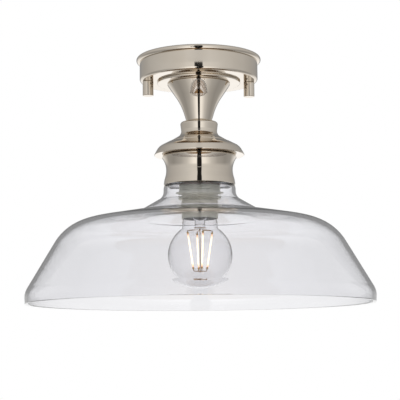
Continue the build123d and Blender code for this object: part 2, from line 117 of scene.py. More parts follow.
def new_material(name: str) -> tuple[bpy.types.Material, bpy.types.NodeTree]:
    """Makes an empty node material.

    Args:
        name: the finish's name.

    Returns:
        The material and its node tree.
    """
    material = bpy.data.materials.new(name)
    material.use_nodes = True
    material.node_tree.nodes.clear()
    return material, material.node_tree


# ---- Modelling ----
def deselect() -> None:
    """Leaves object mode's selection empty."""
    bpy.ops.object.select_all(action="DESELECT")


def pick_up(piece: bpy.types.Object) -> None:
    """Makes a piece the only one that is selected, and the active one.

    Args:
        piece: the piece, in object mode.
    """
    deselect()
    piece.select_set(True)
    bpy.context.view_layer.objects.active = piece


def turn_round_axis(steps: int) -> None:
    """Spins all of the mesh in edit mode round the z axis into one closed skin that faces outwards.

    Args:
        steps: faces round the axis.
    """
    bpy.ops.mesh.select_all(action="SELECT")
    bpy.ops.mesh.spin(steps=steps, angle=2 * math.pi, center=(0, 0, 0), axis=(0, 0, 1), dupli=False)
    bpy.ops.mesh.select_all(action="SELECT")
    bpy.ops.mesh.remove_doubles(threshold=MERGE_DISTANCE)
    bpy.ops.mesh.normals_make_consistent(inside=False)
    bpy.ops.object.mode_set(mode="OBJECT")


class Section:
    """A line in the x-z plane, drawn by extruding one vertex along runs and spinning it round corners."""

    degrees_per_step: int = 4
    shortest_run: float = 1e-4
    smallest_round: float = 1e-3
    seed_size: float = 0.01

    def __init__(self, name: str, start: Point) -> None:
        """Puts the first vertex.

        Args:
            name: the new piece's name.
            start: radius and height in millimetres.
        """
        deselect()
        bpy.ops.mesh.primitive_plane_add(size=self.seed_size, enter_editmode=True)
        self.piece = bpy.context.object
        self.piece.name = self.piece.data.name = name
        bpy.ops.mesh.select_all(action="SELECT")
        bpy.ops.mesh.merge(type="CENTER")
        bpy.ops.transform.translate(value=(start[0] * MM, 0, start[1] * MM))
        self.place = start

    def run(self, end: Point) -> None:
        """Extrudes the vertex straight to a new place.

        Args:
            end: radius and height in millimetres.
        """
        if math.dist(self.place, end) > self.shortest_run:
            step = ((end[0] - self.place[0]) * MM, 0, (end[1] - self.place[1]) * MM)
            bpy.ops.mesh.extrude_vertices_move(TRANSFORM_OT_translate={"value": step})
            self.place = end

    def bend(self, corner: Point, onward: Point, radius: float) -> None:
        """Goes round a corner.

        Args:
            corner: where the two runs would meet.
            onward: the next corner, which gives the way out.
            radius: the corner's radius; 0 keeps it sharp.
        """
        come = math.atan2(corner[1] - self.place[1], corner[0] - self.place[0])
        leave = math.atan2(onward[1] - corner[1], onward[0] - corner[0])
        turn = (leave - come + math.pi) % (2 * math.pi) - math.pi
        back = radius * math.tan(abs(turn) / 2)
        self.run((corner[0] - back * math.cos(come), corner[1] - back * math.sin(come)))
        if back > self.smallest_round:
            side = come + math.copysign(math.pi / 2, turn)
            centre = (self.place[0] + radius * math.cos(side), self.place[1] + radius * math.sin(side))
            self.arc(centre, math.degrees(turn))

    def arc(self, centre: Point, degrees: float) -> None:
        """Spins the vertex round a centre.

        Args:
            centre: radius and height in millimetres.
            degrees: how far; a negative angle goes down on the right of the centre.
        """
        turn = math.radians(degrees)
        steps = max(3, math.ceil(abs(degrees) / self.degrees_per_step))
        bpy.ops.mesh.spin(steps=steps, angle=turn, center=(centre[0] * MM, 0, centre[1] * MM),
                          axis=(0, 1, 0), dupli=False, use_auto_merge=False)
        away = (self.place[0] - centre[0], self.place[1] - centre[1])
        self.place = (centre[0] + away[0] * math.cos(turn) - away[1] * math.sin(turn),
                      centre[1] + away[0] * math.sin(turn) + away[1] * math.cos(turn))

    def path(self, corners: Sequence[Point], radii: Sequence[float]) -> None:
        """Draws a run of corners, the last of which is its end.

        Args:
            corners: the corners that are left to go to.
            radii: one radius for each corner but the last.
        """
        for corner, onward, radius in zip(corners, corners[1:], radii):
            self.bend(corner, onward, radius)
        self.run(corners[-1])

    def turned(self, steps: int, wall: float = 0.0) -> bpy.types.Object:
        """Turns the line round the z axis.

        Args:
            steps: faces round the axis.
            wall: thickness in millimetres that an open line's skin gets inwards; 0 for a closed line.

        Returns:
            The piece, closed, smooth and in object mode.
        """
        turn_round_axis(steps)
        if wall:
            self.thicken(wall)
        bpy.ops.object.shade_smooth_by_angle(angle=SMOOTH_ANGLE)
        return self.piece

    def thicken(self, wall: float) -> None:
        """Gives the turned skin its wall, inwards from the outer face.

        Args:
            wall: thickness in millimetres.
        """
        sheet = self.piece.modifiers.new("wall", "SOLIDIFY")
        sheet.thickness = wall * MM
        sheet.offset = -1
        sheet.use_even_offset = True
        sheet.use_quality_normals = True
        bpy.ops.object.modifier_apply(modifier=sheet.name)


def soften(piece: bpy.types.Object, pick: Callable[[bmesh.types.BMEdge], bool], width: float,
           segments: int) -> None:
    """Bevels the edges of a piece that a test picks.

    Args:
        piece: the piece, in object mode.
        pick: says whether an edge is bevelled.
        width: the bevel's width in millimetres.
        segments: faces across the bevel.
    """
    pick_up(piece)
    bpy.ops.object.mode_set(mode="EDIT")
    bpy.ops.mesh.select_mode(type="EDGE")
    bpy.ops.mesh.select_all(action="DESELECT")
    mesh = bmesh.from_edit_mesh(piece.data)
    for edge in mesh.edges:
        edge.select_set(pick(edge))
    bmesh.update_edit_mesh(piece.data)
    bpy.ops.mesh.bevel(offset=width * MM, offset_type="OFFSET", segments=segments, profile=0.5,
                       affect="EDGES")
    bpy.ops.mesh.select_mode(type="VERT")
    bpy.ops.object.mode_set(mode="OBJECT")
    bpy.ops.object.shade_smooth_by_angle(angle=SMOOTH_ANGLE)


# ---- Finishes ----
@dataclass(frozen=True)
class PlatedMetal:
    """Plated or bare metal: one colour with slightly duller patches, and a faint relief.

    Attributes:
        name: the material's name.
        colour: its colour where it is brightest.
        dull: its colour where it is dullest.
        roughness: the least roughness.
        haze: what the dull patches add to the roughness.
        patch_mm: size of a patch.
        wave_mm: length of a wave of the surface.
        relief_mm: height of such a wave.
    """

    name: str
    colour: str
    dull: str
    roughness: float
    haze: float
    patch_mm: float
    wave_mm: float
    relief_mm: float

    def make(self) -> bpy.types.Material:
        """Builds the node material.

        Returns:
            The material; its index of refraction stays at the default, as a metal's does.
        """
        material, tree = new_material(self.name)
        place = add_node(tree, "ShaderNodeTexCoord").outputs["Object"]
        patches = add_node(tree, "ShaderNodeTexNoise", {
            "Vector": place, "Scale": 1 / (self.patch_mm * MM), "Detail": 2.0})
        waves = add_node(tree, "ShaderNodeTexNoise", {
            "Vector": place, "Scale": 1 / (self.wave_mm * MM), "Detail": 1.0})
        dulled = add_node(tree, "ShaderNodeMapRange", {
            "Value": patches, "From Min": NOISE_LOW, "From Max": NOISE_HIGH, "To Min": 0.0, "To Max": 1.0})
        colour = add_node(tree, "ShaderNodeMix", {
            0: dulled, 6: linear(self.colour), 7: linear(self.dull)}, data_type="RGBA")
        roughness = add_node(tree, "ShaderNodeMapRange", {
            "Value": patches, "From Min": NOISE_LOW, "From Max": NOISE_HIGH,
            "To Min": self.roughness, "To Max": self.roughness + self.haze})
        relief = add_node(tree, "ShaderNodeBump", {
            "Height": waves, "Strength": 1.0, "Distance": self.relief_mm * MM})
        shader = add_node(tree, "ShaderNodeBsdfPrincipled", {
            "Base Color": colour.outputs[2], "Roughness": roughness, "Metallic": 1.0, "Normal": relief})
        add_node(tree, "ShaderNodeOutputMaterial", {"Surface": shader})
        return material


@dataclass(frozen=True)
class Glass:
    """Clear glass with the slow waves of a blown surface.

    Attributes:
        name: the material's name.
        tint: what its faces do to the light that goes through.
        ior: index of refraction.
        wave_mm: length of a wave of the surface.
        relief_mm: height of such a wave.
    """

    name: str
    tint: str
    ior: float
    wave_mm: float
    relief_mm: float

    def make(self) -> bpy.types.Material:
        """Builds the node material.

        Returns:
            The material, perfectly smooth but for its waves.
        """
        material, tree = new_material(self.name)
        place = add_node(tree, "ShaderNodeTexCoord").outputs["Object"]
        waves = add_node(tree, "ShaderNodeTexNoise", {
            "Vector": place, "Scale": 1 / (self.wave_mm * MM), "Detail": 1.0})
        relief = add_node(tree, "ShaderNodeBump", {
            "Height": waves, "Strength": 1.0, "Distance": self.relief_mm * MM})
        shader = add_node(tree, "ShaderNodeBsdfPrincipled", {
            "Base Color": linear(self.tint), "Roughness": 0.0, "IOR": self.ior,
            "Transmission Weight": 1.0, "Normal": relief})
        add_node(tree, "ShaderNodeOutputMaterial", {"Surface": shader})
        return material


@dataclass(frozen=True)
class Moulded:
    """Opaque plastic, porcelain, fibre or glass: two near colours, a grain and a gloss.

    Attributes:
        name: the material's name.
        colour: its main colour.
        fleck: the colour of its flecks.
        roughness: the least roughness.
        grain_mm: size of a fleck.
        relief_mm: height of a fleck.
        coat: weight of a glaze or skin over it.
        spread: what the flecks add to the roughness.
        coat_roughness: roughness of that glaze or skin.
    """

    name: str
    colour: str
    fleck: str
    roughness: float
    grain_mm: float
    relief_mm: float
    coat: float = 0.0
    spread: float = 0.08
    coat_roughness: float = 0.06

    def make(self) -> bpy.types.Material:
        """Builds the node material.

        Returns:
            The material.
        """
        material, tree = new_material(self.name)
        place = add_node(tree, "ShaderNodeTexCoord").outputs["Object"]
        flecks = add_node(tree, "ShaderNodeTexNoise", {
            "Vector": place, "Scale": 1 / (self.grain_mm * MM), "Detail": 4.0})
        flecked = add_node(tree, "ShaderNodeMapRange", {
            "Value": flecks, "From Min": NOISE_LOW, "From Max": NOISE_HIGH, "To Min": 0.0, "To Max": 1.0})
        colour = add_node(tree, "ShaderNodeMix", {
            0: flecked, 6: linear(self.colour), 7: linear(self.fleck)}, data_type="RGBA")
        roughness = add_node(tree, "ShaderNodeMapRange", {
            "Value": flecks, "From Min": NOISE_LOW, "From Max": NOISE_HIGH,
            "To Min": self.roughness, "To Max": self.roughness + self.spread})
        relief = add_node(tree, "ShaderNodeBump", {
            "Height": flecks, "Strength": 1.0, "Distance": self.relief_mm * MM})
        shader = add_node(tree, "ShaderNodeBsdfPrincipled", {
            "Base Color": colour.outputs[2], "Roughness": roughness, "Coat Weight": self.coat,
            "Coat Roughness": self.coat_roughness, "Normal": relief})
        add_node(tree, "ShaderNodeOutputMaterial", {"Surface": shader})
        return material


@dataclass(frozen=True)
class Glowing:
    """A lit filament: warm white in the middle of its length and orange at its cooler ends.

    Attributes:
        name: the material's name.
        core: its colour in the middle.
        end: its colour at both ends.
        strength: how strongly the middle glows.
        top_z_mm: height of its upper end.
        foot_z_mm: height of its lower end.
        end_mm: length over which an end cools.
        end_share: what is left of the glow at the very end.
        skin_roughness: roughness of the coat.
    """

    name: str
    core: str
    end: str
    strength: float
    top_z_mm: float
    foot_z_mm: float
    end_mm: float
    end_share: float = 0.35
    skin_roughness: float = 0.5

    def make(self) -> bpy.types.Material:
        """Builds the node material.

        Returns:
            The material, which gives light.
        """
        material, tree = new_material(self.name)
        place = add_node(tree, "ShaderNodeTexCoord")
        split = add_node(tree, "ShaderNodeSeparateXYZ", {0: place.outputs["Object"]})
        middle = (self.top_z_mm + self.foot_z_mm) / 2 * MM
        half = (self.top_z_mm - self.foot_z_mm) / 2 * MM
        off = add_node(tree, "ShaderNodeMath", {0: split.outputs[2], 1: middle}, operation="SUBTRACT")
        away = add_node(tree, "ShaderNodeMath", {0: off}, operation="ABSOLUTE")
        cooled = add_node(tree, "ShaderNodeMapRange", {
            "Value": away, "From Min": half - self.end_mm * MM, "From Max": half,
            "To Min": 0.0, "To Max": 1.0})
        colour = add_node(tree, "ShaderNodeMix", {
            0: cooled, 6: linear(self.core), 7: linear(self.end)}, data_type="RGBA")
        glow = add_node(tree, "ShaderNodeMapRange", {
            "Value": cooled, "From Min": 0.0, "From Max": 1.0,
            "To Min": self.strength, "To Max": self.end_share * self.strength})
        shader = add_node(tree, "ShaderNodeBsdfPrincipled", {
            "Base Color": colour.outputs[2], "Roughness": self.skin_roughness,
            "Emission Color": colour.outputs[2], "Emission Strength": glow})
        add_node(tree, "ShaderNodeOutputMaterial", {"Surface": shader})
        return material


class Slot(Enum):
    """The record's material slots, each with the finish that it gets here."""

    # Nickel plate on spun steel, buffed to a mirror: sharp, slightly warm reflections. The buffing marks
    # are hundredths of a millimetre wide, far too fine to show, and are drawn as patches of haze and as
    # waves of several centimetres that sway a reflection's edge.
    POLISHED_NICKEL = PlatedMetal("polished_nickel", "d6cdc0", "d0c6b8", roughness=0.018, haze=0.012,
                                  patch_mm=24, wave_mm=60, relief_mm=0.02)
    # Nickel plate on a blasted shell, left as it came from the bath: a pale body with broad soft lights.
    # The blasted pits of about 0.05 mm are too fine to show and are drawn at 2 mm.
    SATIN_NICKEL = PlatedMetal("satin_nickel", "f0f0e6", "e8e8de", roughness=0.5, haze=0.06,
                               patch_mm=6, wave_mm=2, relief_mm=0.01)
    # Bright zinc on pressed or turned steel: a cool grey with cloudy patches. Its crystals are too fine to
    # show and are drawn at 1.5 mm.
    ZINC_STEEL = PlatedMetal("zinc_steel", "b9bcc0", "a5a8ab", roughness=0.28, haze=0.14,
                             patch_mm=3, wave_mm=1.5, relief_mm=0.01)
    # Brass, turned or stamped and left bare: yellow, with browner patches where it has aged. Tool marks of
    # about 0.1 mm are too fine to show and are drawn at 2 mm.
    BRASS = PlatedMetal("brass", "d9b25c", "b98f45", roughness=0.22, haze=0.12,
                        patch_mm=4, wave_mm=2, relief_mm=0.01)
    # Porcelain, cast, fired and glazed: an off-white body with slow ripples under a glossy clear coat.
    PORCELAIN = Moulded("porcelain", "ece9e1", "e2ded4", roughness=0.18, grain_mm=5, relief_mm=0.02,
                        coat=0.6)
    # Vulcanised fibre, rolled from cotton paper and punched: dull red-brown with a mottle of short fibres.
    # A fibre is about 0.02 mm wide and can't show, so the mottle is drawn at 0.8 mm.
    FIBRE = Moulded("fibre", "7a3b2c", "693023", roughness=0.62, grain_mm=0.8, relief_mm=0.05)
    # Soda-lime glass, blown by mouth: a flawless skin, and slow waves that sway what is seen through it.
    CLEAR_GLASS = Glass("clear_glass", "f6f6f8", ior=1.52, wave_mm=55, relief_mm=0.03)
    # Soda-lime glass, blown in a lamp maker's mould: thinner, clearer and with shallower waves.
    LAMP_GLASS = Glass("lamp_glass", "fcfcfd", ior=1.5, wave_mm=40, relief_mm=0.01)
    # Nickel plate on rolled brass sheet: a bright grey with soft clouds. The rolling marks of about
    # 0.05 mm are too fine to show and are drawn at 1.5 mm.
    LAMP_CAP_METAL = PlatedMetal("lamp_cap_metal", "d4d4d2", "bdbdba", roughness=0.22, haze=0.14,
                                 patch_mm=3, wave_mm=1.5, relief_mm=0.01)
    # Black glass, pressed hot into the lamp's cap: near black under a glossy fire skin.
    BLACK_INSULATOR = Moulded("black_insulator", "15161a", "22242a", roughness=0.12, grain_mm=2,
                              relief_mm=0.02, coat=0.5)
    # Tin solder, left as it froze: a greyed skin with small puckers.
    SOLDER = PlatedMetal("solder", "b4b3ae", "8e8d88", roughness=0.34, haze=0.15,
                         patch_mm=1, wave_mm=0.8, relief_mm=0.03)
    # Light diodes in a row under a cast coat of phosphor: lit, they melt into one warm, even glow.
    FILAMENT = Glowing("filament", "fff0d2", "ffa860", strength=1.5, top_z_mm=-166.7, foot_z_mm=-200.4,
                       end_mm=5.0)
    # Nickel-iron wire, drawn with a copper skin: a coppery shine. The draw marks of about 0.02 mm are too
    # fine to show and are drawn at 0.8 mm.
    LEAD_WIRE = PlatedMetal("lead_wire", "cda983", "b08a66", roughness=0.3, haze=0.1,
                            patch_mm=1, wave_mm=0.8, relief_mm=0.005)
    # Polyamide, injection-moulded in a spark-eroded mould: off-white with a soft sheen. The mould's grain
    # of about 0.1 mm is too fine to show and is drawn at 1.2 mm.
    BLOCK_PLASTIC = Moulded("block_plastic", "e6e4db", "dddacf", roughness=0.42, grain_mm=1.2,
                            relief_mm=0.02)
    # Soft PVC, extruded over the wire: an even colour and a dull gloss with slight ripples.
    BROWN_INSULATION = Moulded("brown_insulation", "5a3420", "4c2b1a", roughness=0.36, grain_mm=1.5,
                               relief_mm=0.02)
    # Soft PVC, as on the brown lead.
    BLUE_INSULATION = Moulded("blue_insulation", "1f56a8", "1a4a93", roughness=0.36, grain_mm=1.5,
                              relief_mm=0.02)
    # Soft PVC, extruded in green with yellow in it: the two colours are drawn as patches of 3 mm.
    GREEN_INSULATION = Moulded("green_insulation", "6f9c2c", "c8c23a", roughness=0.36, grain_mm=3.0,
                               relief_mm=0.02)


CAD_SLOTS = {part["node"]: Slot[part["material_slot"].upper()] for part in frame["record"]["subparts"]}


class PaintShop:
    """Makes each finish once and puts it on pieces."""

    def __init__(self) -> None:
        """Makes the finishes."""
        self.made = {slot: slot.value.make() for slot in Slot}

    def cad(self, node: str, slot: Slot) -> None:
        """Dresses a CAD node that stays in sight.

        Args:
            node: the node's name.
            slot: its finish.
        """
        piece = frame["nodes"][node]
        for material_slot in piece.material_slots:
            material_slot.material = self.made[slot]
        log.info("%s wears %s", node, slot.name.lower())

    def piece(self, obj: bpy.types.Object, slot: Slot, body: str, *stands_for: str) -> None:
        """Dresses a new piece, puts it on its body and lets it stand for CAD nodes.

        Args:
            obj: the new piece, in place.
            slot: its finish.
            body: the CAD body that it moves with.
            stands_for: the CAD nodes that it replaces.
        """
        obj.data.materials.clear()
        obj.data.materials.append(self.made[slot])
        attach(obj, body)
        if stands_for:
            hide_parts(*stands_for)
        log.info("%s rides on %s and wears %s", obj.name, body, slot.name.lower())


# ---- Sub-assemblies ----
@dataclass
class SubAssembly:
    """CAD nodes that stay in sight, each in the finish that the record gives it.

    Attributes:
        nodes: the nodes' names.
    """

    nodes: tuple[str, ...] = ()

    def build(self, paint: PaintShop) -> None:
        """Dresses the nodes."""
        for node in self.nodes:
            paint.cad(node, CAD_SLOTS[node])


@dataclass
class CeilingFixing(SubAssembly):
    """What is screwed to the ceiling, with the terminal block and its leads."""

    nodes: tuple[str, ...] = ("ceiling_bracket", "bracket_studs", "stud_nuts", "terminal_block",
                              "block_screws", "live_lead", "neutral_lead", "earth_lead", "earth_tag",
                              "earth_screw")


@dataclass
class Canopy(SubAssembly):
    """The spun nickel canopy with its seat disc, trumpet, collar and cap nuts."""

    nodes: tuple[str, ...] = ("canopy", "seat_disc", "trumpet", "collar", "cap_nut_left", "cap_nut_right",
                              "canopy_nut", "lock_washer")


@dataclass
class ShadeCarrier(SubAssembly):
    """Shade cap and gallery on the threaded stem."""

    nodes: tuple[str, ...] = ("shade_cap", "gallery", "stem_tube", "gallery_nut", "fitter_plate",
                              "fibre_washer")


@dataclass
class Lampholder(SubAssembly):
    """Screw lampholder with its shade ring.

    Attributes:
        shell: the outer nodes, which are plated but not polished.
    """

    nodes: tuple[str, ...] = ("holder_core", "screw_shell", "centre_contact", "terminal_screws")
    shell: tuple[str, ...] = ("holder_cap", "holder_skirt", "shade_ring")

    def build(self, paint: PaintShop) -> None:
        """Dresses the inner parts and the shell.

        Args:
            paint: the finishes.
        """
        super().build(paint)
        for node in self.shell:
            paint.cad(node, Slot.SATIN_NICKEL)


@dataclass
class GlassShade(SubAssembly):
    """Blown shade: a flat neck on the ring, a drawn waist, a dome and a straight flared skirt.

    Attributes:
        hole_r: radius of the hole for the lampholder's thread.
        top_z: height of the flat top.
        corners: where the straight runs of the outer face would meet, as radius and height.
        rounds: the outer face's radius at each corner.
        rim: the lowest point of the outer face.
        wall: thickness of the glass.
        lip_round: radius of the fire-polished lip.
        lip_band: height of the band in which an edge belongs to the lip.
        lip_reach: how much an edge along the lip may change its radius.
        lip_segments: faces across the lip's rounding.
        steps: faces round the axis.
    """

    hole_r: float = 17.6
    top_z: float = -119.2
    corners: tuple[Point, ...] = (
        (33.5, -119.2), (33.9, -132.8), (56.1, -145.8), (124.4, -158.3), (162.2, -222.4))
    rounds: tuple[float, ...] = (6.0, 9.0, 17.2, 44.9, 16.0)
    rim: Point = (161.6, -232.4)
    wall: float = 3.2
    lip_round: float = 0.7
    lip_band: float = 0.3
    lip_reach: float = 0.2
    lip_segments: int = 4
    steps: int = 240

    def build(self, paint: PaintShop) -> None:
        """Models the shade and dresses it.

        Args:
            paint: the finishes.
        """
        section = Section("shade_glass", (self.hole_r, self.top_z))
        section.path([*self.corners, self.rim], self.rounds)
        shade = section.turned(self.steps, self.wall)
        soften(shade, self.on_lip, self.lip_round, self.lip_segments)
        paint.piece(shade, Slot.CLEAR_GLASS, "shade", "glass_shade")

    def on_lip(self, edge: bmesh.types.BMEdge) -> bool:
        """Tells whether an edge is one of the lip's two corners.

        Args:
            edge: an edge of the shade.

        Returns:
            True for an edge that runs round the foot of the shade.
        """
        low = max(corner.co.z for corner in edge.verts) < (self.rim[1] + self.lip_band) * MM
        start, end = (math.hypot(corner.co.x, corner.co.y) for corner in edge.verts)
        return low and abs(start - end) < self.lip_reach * MM


@dataclass
class Lamp(SubAssembly):
    """Globe lamp with four straight filaments on a glass stem.

    Attributes:
        neck_top: where the glass leaves the cap, as radius and height.
        neck: the neck's corners below it.
        neck_rounds: the outer face's radius at the neck's corners and at the corner above the ball.
        ball_r: radius of the ball.
        centre_z: height of its centre.
        join: how far above the centre the neck's line meets the ball.
        wall: thickness of the glass.
        steps: faces round the axis.
        filament_r: radius of a filament's coat.
        filament_top: the upper end of a filament's axis, as radius and height.
        filament_foot: its lower end.
        filament_turn_deg: turn of the filaments round the lamp's axis.
        filament_count: how many there are.
        filament_steps: faces round a filament.
        end_round: rounding of a filament's end, as a share of its radius.
        sleeve_r: radius of the metal sleeve at a filament's end.
        sleeve_length: its length.
        sleeve_round: rounding of its edges.
        sleeve_beyond: how far it reaches past the filament's end.
        stem_r: radius of the glass stem where the wire loop lies.
        loop_wire_r: radius of the loop's wire.
        loop_z: height of the loop.
        loop_sides: faces round the wire.
        loop_steps: faces along the loop.
        loop_smooth_deg: edges of the loop under this angle are shaded smooth.
    """

    nodes: tuple[str, ...] = ("lamp_cap", "lamp_insulator", "lamp_tip", "lamp_stem", "filament_wires")
    neck_top: Point = (11.8, -136.0)
    neck: tuple[Point, ...] = ((11.8, -139.5), (15.8, -146.7), (16.6, -154.7))
    neck_rounds: tuple[float, ...] = (4.0, 12.0, 9.0, 9.0)
    ball_r: float = 30.0
    centre_z: float = -188.0
    join: float = 21.5
    wall: float = 0.8
    steps: int = 160
    filament_r: float = 0.75
    filament_top: Point = (11.8, -166.7)
    filament_foot: Point = (6.6, -200.4)
    filament_turn_deg: float = 8.0
    filament_count: int = 4
    filament_steps: int = 20
    end_round: float = 0.6
    sleeve_r: float = 0.95
    sleeve_length: float = 1.9
    sleeve_round: float = 0.3
    sleeve_beyond: float = 0.4
    stem_r: float = 5.0
    loop_wire_r: float = 0.4
    loop_z: float = -160.6
    loop_sides: int = 12
    loop_steps: int = 64
    loop_smooth_deg: float = 60.0

    def build(self, paint: PaintShop) -> None:
        """Models the globe, the filaments and the wire loop, and dresses the lamp.

        Args:
            paint: the finishes.
        """
        super().build(paint)
        paint.piece(self.globe(), Slot.LAMP_GLASS, "bulb", "bulb_glass")
        sticks = self.spread_round(self.stick())
        sleeves = self.spread_round(self.sleeves())
        paint.piece(sticks[0], Slot.FILAMENT, "bulb", "filaments")
        for stick in sticks[1:]:
            paint.piece(stick, Slot.FILAMENT, "bulb")
        for sleeve in sleeves:
            paint.piece(sleeve, Slot.BRASS, "bulb")
        paint.piece(self.loop(), Slot.LEAD_WIRE, "bulb")

    def half_filament(self) -> float:
        """Gives half the length of a filament."""
        return math.dist(self.filament_top, self.filament_foot) / 2

    def globe(self) -> bpy.types.Object:
        """Models the globe from its neck to its pole.

        Returns:
            The globe with its wall.
        """
        join_r = math.sqrt(self.ball_r ** 2 - self.join ** 2)
        join = (join_r, self.centre_z + self.join)
        neck_r = self.neck[-1][0]
        corner = (neck_r, join[1] + (join_r - neck_r) * join_r / self.join)
        section = Section("lamp_globe", self.neck_top)
        section.path([*self.neck, corner, join], self.neck_rounds)
        section.arc((0.0, self.centre_z), -90 - math.degrees(math.atan2(self.join, join_r)))
        return section.turned(self.steps, self.wall)

    def stick(self) -> bpy.types.Object:
        """Models one coated filament.

        Returns:
            The filament, upright on the axis.
        """
        half, r = self.half_filament(), self.filament_r
        section = Section("filament_1", (0.0, half))
        section.path([(r, half), (r, -half), (0.0, -half)], [self.end_round * r, self.end_round * r])
        return section.turned(self.filament_steps)

    def sleeves(self) -> bpy.types.Object:
        """Models the two metal ends of one filament.

        Returns:
            Both sleeves as one piece, upright on the axis.
        """
        half, r = self.half_filament() + self.sleeve_beyond, self.sleeve_r
        ends = []
        for top in (half, self.sleeve_length - half):
            foot = top - self.sleeve_length
            section = Section("filament_ends_1", (0.0, top))
            section.path([(r, top), (r, foot), (0.0, foot)], [self.sleeve_round, self.sleeve_round])
            ends.append(section.turned(self.filament_steps))
        pick_up(ends[0])
        ends[1].select_set(True)
        bpy.ops.object.join()
        ends[0].name = ends[0].data.name = "filament_ends_1"
        return ends[0]

    def loop(self) -> bpy.types.Object:
        """Models the turn of wire round the glass stem.

        Returns:
            The loop of wire.
        """
        deselect()
        bpy.ops.mesh.primitive_circle_add(vertices=self.loop_sides, radius=self.loop_wire_r * MM,
                                          enter_editmode=True)
        loop = bpy.context.object
        loop.name = loop.data.name = "stem_wire_loop"
        bpy.ops.mesh.select_all(action="SELECT")
        bpy.ops.transform.rotate(value=math.pi / 2, orient_axis="X", center_override=(0, 0, 0))
        reach = (self.stem_r + self.loop_wire_r) * MM
        bpy.ops.transform.translate(value=(reach, 0, self.loop_z * MM))
        turn_round_axis(self.loop_steps)
        bpy.ops.object.shade_smooth_by_angle(angle=math.radians(self.loop_smooth_deg))
        return loop

    def spread_round(self, first: bpy.types.Object) -> list[bpy.types.Object]:
        """Leans a piece into place as a filament, and copies it round the lamp's axis.

        Args:
            first: the piece, upright on the axis; its name ends in 1.

        Returns:
            The piece and its copies.
        """
        (top_r, top_z), (foot_r, foot_z) = self.filament_top, self.filament_foot
        lean = math.atan2(top_r - foot_r, top_z - foot_z)
        middle = ((top_r + foot_r) / 2 * MM, 0, (top_z + foot_z) / 2 * MM)
        pieces = []
        for number in range(1, self.filament_count + 1):
            pick_up(first)
            if number < self.filament_count:
                bpy.ops.object.duplicate()
                piece = bpy.context.object
                piece.name = piece.data.name = first.name[:-1] + str(number + 1)
            else:
                piece = first
            bpy.ops.object.mode_set(mode="EDIT")
            bpy.ops.mesh.select_all(action="SELECT")
            bpy.ops.transform.rotate(value=-lean, orient_axis="Y", center_override=(0, 0, 0))
            bpy.ops.transform.translate(value=middle)
            turn = math.radians(self.filament_turn_deg + 360 * number / self.filament_count)
            bpy.ops.transform.rotate(value=-turn, orient_axis="Z", center_override=(0, 0, 0))
            bpy.ops.object.mode_set(mode="OBJECT")
            pieces.append(piece)
        return pieces[::-1]


